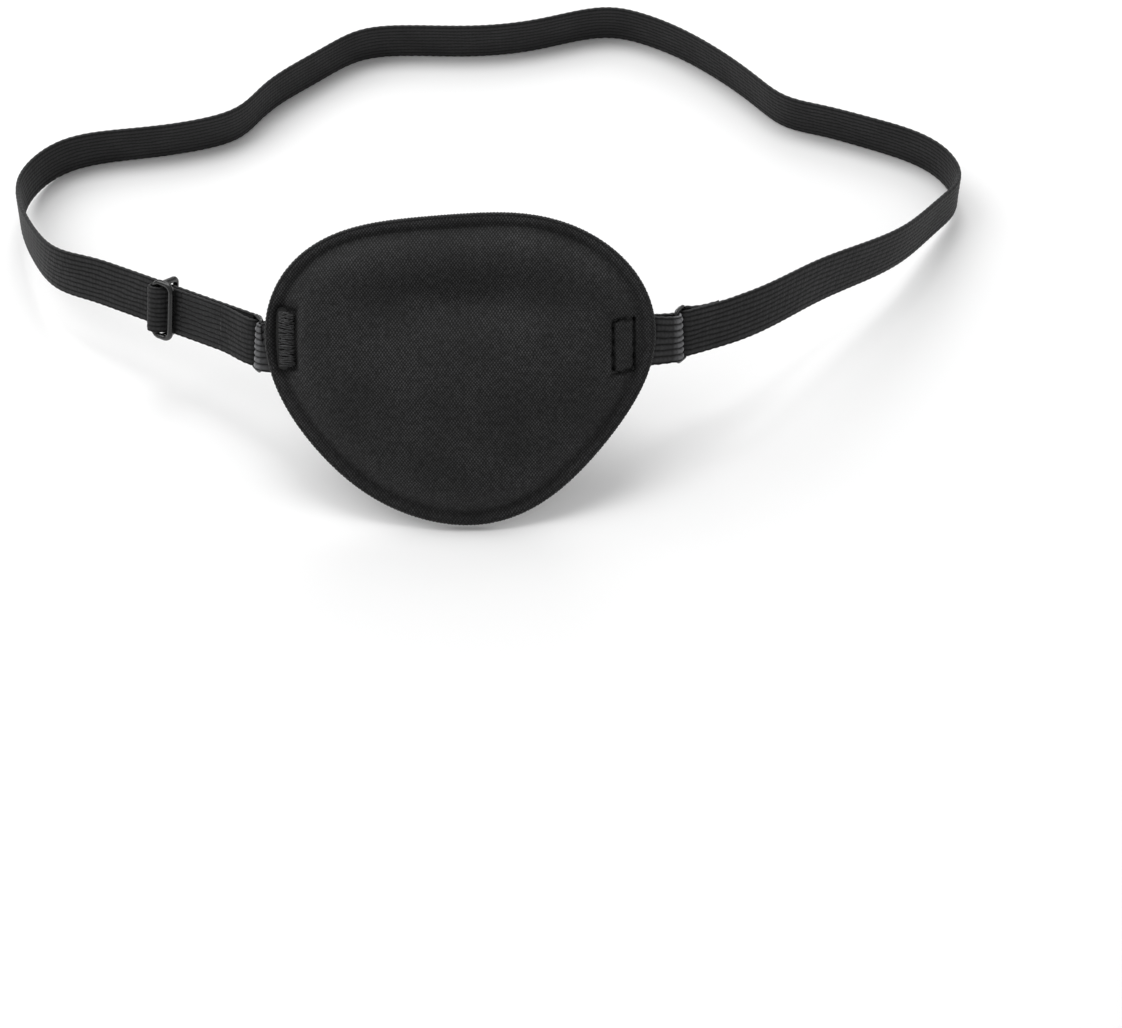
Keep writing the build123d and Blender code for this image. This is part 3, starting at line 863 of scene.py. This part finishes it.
def tack_surface(u, v):
    """Height of the padded bar that the satin threads cover."""
    (left, low), (right, high) = TACK
    side = np.clip(np.abs(u - (left + right) / 2) / ((right - left) / 2 - TACK_MARGIN), 0, 1)
    end = np.clip(np.abs(v - (low + high) / 2) / ((high - low) / 2 - TACK_MARGIN), 0, 1)
    crown = np.sqrt(1 - side**2 * 0.96) * np.sqrt(1 - end**6 * 0.96)
    return TACK_BED + TACK_RISE * crown - 0.1


def bar_tack(name, look):
    """Satin threads of uneven length, laid slanting over a padded bar, left of the patch."""
    (left, low), (right, high) = TACK
    wide, tall = right - left - 2 * TACK_MARGIN, high - low - 2 * TACK_MARGIN
    count = int(tall / SATIN_PITCH)
    paths = []
    for layer in range(SATIN_LAYERS):
        for i in range(count):
            reach = 1.0 if layer == 0 else 0.45 + 0.4 * random.random()
            shift = (1 - reach) * (random.random() - 0.5)
            share = 0.5 + shift + reach * np.linspace(-0.5, 0.5, 13)
            lean = (0.9 if i < count * 0.35 else 0.25) * (1 if layer != 1 else -0.5)
            lean += random.normal() * 0.35
            u = left + TACK_MARGIN + wide * share
            v = high - TACK_MARGIN - tall * (i + 0.5) / count - lean * (share - 0.5)
            v = np.clip(v + random.normal() * 0.1, low + TACK_MARGIN, high - TACK_MARGIN)
            ends = 0.14 * np.sqrt(np.sin(math.pi * np.linspace(0, 1, 13)))
            paths.append(from_patch(u, v, tack_surface(u, v) + ends + 0.06 * layer))
    points, faces = thread_tubes(paths, SATIN_THREAD, sides=6)
    return make_piece(name, points, faces, ROOT, look, ("left_bar_tack",))


def tack_padding(name, look):
    """The padded bar under the satin threads, whose near-black colour is painted shade in the gaps
    between them.
    """
    (left, low), (right, high) = TACK
    rows, columns = 30, 14
    v = np.linspace(low + TACK_MARGIN, high - TACK_MARGIN, rows)[:, None]
    turn = np.linspace(0, 2 * math.pi, columns, endpoint=False)[None]
    ends = np.clip(1 - np.abs(np.linspace(-1, 1, rows)) ** 6, 0.05, 1)[:, None]
    u = (left + right) / 2 + ((right - left) / 2 - TACK_MARGIN) * np.cos(turn) * ends
    w = TACK_BED - 0.15 + 0.7 * np.sin(turn) * ends
    points = from_patch(u, v, w).reshape(-1, 3)
    uv = np.stack(np.broadcast_arrays(u + UV_SHIFT, v + UV_SHIFT), axis=2).reshape(-1, 2)
    faces = tube_faces(rows, columns)
    return make_piece(name, points, faces, ROOT, look, uv=uv)


def box_stitch(name, look):
    """Single stitches that run round a pressed box, right of the patch."""
    (left, low), (right, high) = BOX
    ends = (left + BOX_INSET, right - BOX_INSET)
    levels = (low + BOX_INSET, high - BOX_INSET)
    flat = [(ends[0], levels[0]), (ends[1], levels[0]), (ends[1], levels[1]), (ends[0], levels[1])]
    corners = [(u, v + BOX_SLANT * (u - (left + right) / 2)) for u, v in flat]
    paths = []
    for (u0, v0), (u1, v1) in zip(corners, corners[1:] + corners[:1]):
        size = math.hypot(u1 - u0, v1 - v0)
        count = max(2, round(size / BOX_PITCH))
        for i in range(count):
            share = (i + np.linspace(0.08, 0.92, 9)) / count
            u = u0 + (u1 - u0) * share
            v = v0 + (v1 - v0) * share
            rise = 0.14 * np.sin(math.pi * np.linspace(0, 1, 9)) - 0.02
            paths.append(from_patch(u, v, front_height(u, v) + rise))
    points, faces = thread_tubes(paths, BOX_THREAD)
    return make_piece(name, points, faces, ROOT, look, ("right_box_stitch",))


def pad_axes(points):
    """Middle, and long, short and thin half axes, of a box-shaped stitch pad."""
    middle = points.mean(axis=0)
    away = points - middle
    axes = np.linalg.svd(away, full_matrices=False)[2]
    return middle, [axis * np.abs(away @ axis).max() for axis in axes]


def zigzag(name, points, body, look, stands_for=(), lift=0.0):
    """A dense zigzag of thread that fills a stitch pad of the CAD model."""
    middle, (long, short, thin) = pad_axes(points)
    size = np.linalg.norm(long) * 2
    count = int(size / ROW_PITCH)
    path = []
    for i in range(count + 1):
        side = 1 if i % 2 else -1
        share = 2 * i / count - 1
        for part in (-0.75, 0.0, 0.75):
            step = share + part * ROW_PITCH / size * 2 * 0.3
            dip = -0.5 if abs(part) > 0.5 else 0.7
            sideways = short * side * (1 - 0.12 * abs(part))
            path.append(middle + long * step + sideways + thin * dip * lift)
    path = resampled(np.array(path), 0.15)
    shape, faces = thread_tubes([smoothed(path, 1.2)], ROW_THREAD)
    return make_piece(name, shape, faces, body, look, stands_for)


def back_pad(node):
    """The points of a stitch pad that lie behind the patch."""
    points = welded(node)[0]
    return points[in_patch(points)[:, 2] < 0]


# ------------------------------------------------------------------ build

cover_look = knit_look("black_jersey")
lining_look = knit_look("black_lining", pitch=0.55, base=0.003, top=0.04)
roll_look = knit_look("rolled_jersey", pitch=0.7, base=0.008, top=0.045)
# The bar tack's padding is painted near black: painted shade in the gaps between the satin
# threads.
painted_shade_pad_look = knit_look("tack_padding", pitch=0.5, base=0.001, top=0.004)
band_look = elastic_look("ribbed_elastic")
thread = thread_look("black_thread", 0.05)
# The box stitch's thread is painted near black: painted shade along the pressed line it lies in.
painted_shade_box_thread = thread_look("painted_shade_box_thread", 0.003)
seam_thread = thread_look("black_seam_thread", 0.035)
foam = foam_look("dark_foam")
wire = wire_look("black_coated_wire")

patch_layer(
    "patch_front_cover",
    "front_cover",
    (front_height, under_front),
    cover_look,
)
patch_layer(
    "patch_foam_core",
    "foam_core",
    (foam_top, foam_bottom),
    foam,
    rings=(48, 40),
    spokes=240,
    inset=0.8,
)
patch_layer(
    "patch_back_cover",
    "back_cover",
    (over_back, back_height),
    lining_look,
    rings=(40, 72),
)
edge_binding("patch_rolled_edge", roll_look)
edge_stitches("patch_edge_stitches", seam_thread)
tack_padding("left_bar_tack_padding", painted_shade_pad_look)
bar_tack("left_bar_tack_threads", thread)
box_stitch("right_box_stitch_threads", painted_shade_box_thread)
zigzag("left_tab_back_stitches", back_pad("left_bar_tack"), ROOT, thread, lift=1.0)
zigzag("right_tab_back_stitches", back_pad("right_box_stitch"), ROOT, thread, lift=1.0)

for side in ("left", "right"):
    tab = side + "_tab"
    fold = fold_of(tab)
    tab_look = elastic_look("broad_ribbed_elastic_" + side, 1.5, TAB_RIBS, fold_at=fold[0])
    band_piece(tab + "_elastic", tab, ROOT, tab_look, ribs=TAB_RIBS, fold=fold)
band_piece("strap_elastic", "strap", ROOT, band_look)
returning = band_piece(
    "strap_return_elastic", "strap_return", None, band_look, overlap=RETURN_OVERLAP
)
band_piece("strap_end_elastic", "strap_end", "strap_end", band_look)
end_row = welded("strap_end_stitch")[0]
zigzag("strap_end_threads", end_row, "strap_end", thread, ("strap_end_stitch",))
sewn_row = welded("strap_right_stitch")[0] - band_course("strap")[1][-1] * SEWN_DROP
zigzag("strap_fold_threads", sewn_row, ROOT, thread, ("strap_right_stitch",))

# The returning length runs between the left ring and the slider's end of the strap; its point
# lowest along the slider's travel is found, and its placement is baked into its points.
travel = next(joint for joint in frame["joints"] if joint["name"] == "slider_travel")
travel_axis = np.array(travel["axis"])
returned = np.array([vertex.co for vertex in returning.data.vertices])
away = returned @ travel_axis
blend_start = returned[away.argmin()]
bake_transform(returning)

for name in ("slider", "left_ring", "right_ring"):
    fitting = frame["nodes"][name]
    fitting.data.materials.clear()
    fitting.data.materials.append(wire)

# ------------------------------------------------------------------ stage, light and camera

corner_signs = ((-1, -1), (1, -1), (1, 1), (-1, 1))
floor_corners = [(x * FLOOR_REACH, y * FLOOR_REACH, 0) for x, y in corner_signs]
floor_mesh = bpy.data.meshes.new("floor")
floor_mesh.from_pydata(floor_corners, [], [(0, 1, 2, 3)])
floor_look = Look("pale_floor", Roughness=0.6)
floor_look.set(floor_look.shader, "Base Color", grey(0.9))
floor_mesh.materials.append(floor_look.material)
floor = bpy.data.objects.new("floor", floor_mesh)
bpy.context.scene.collection.objects.link(floor)


def soft_light(name, place, size, power):
    light = bpy.data.lights.new(name, "AREA")
    light.shape = "DISK"
    light.size = size
    light.energy = power
    lamp = bpy.data.objects.new(name, light)
    lamp.location = place
    aim = Vector(LIGHT_AIM) - lamp.location
    lamp.rotation_mode = "QUATERNION"
    lamp.rotation_quaternion = aim.to_track_quat("-Z", "Y")
    bpy.context.scene.collection.objects.link(lamp)


for name, (place, size, power) in LIGHTS.items():
    soft_light(name, place, size, power)

world = bpy.data.worlds.new("studio")
world.use_nodes = True
background = world.node_tree.nodes["Background"]
background.inputs["Color"].default_value = (1, 1, 1, 1)
background.inputs["Strength"].default_value = WORLD_LIGHT
bpy.context.scene.world = world
bpy.context.scene.view_settings.view_transform = "Standard"

camera_data = bpy.data.cameras.new("camera")
camera_data.lens = CAMERA_LENS
camera_data.sensor_width = 36
camera_data.sensor_fit = "HORIZONTAL"
camera_data.clip_start = 0.01
camera = bpy.data.objects.new("camera", camera_data)
between_stitches = np.mean([TACK[0][0], TACK[1][0], BOX[0][0], BOX[1][0]])
anchor = from_patch(between_stitches, TAB_LINE, BACK)
camera.location = ((anchor + CAMERA_FROM_PATCH) * MM).tolist()
camera.rotation_euler = (math.radians(CAMERA_TILT), 0, 0)
bpy.context.scene.collection.objects.link(camera)
bpy.context.scene.camera = camera

bpy.context.view_layer.update()
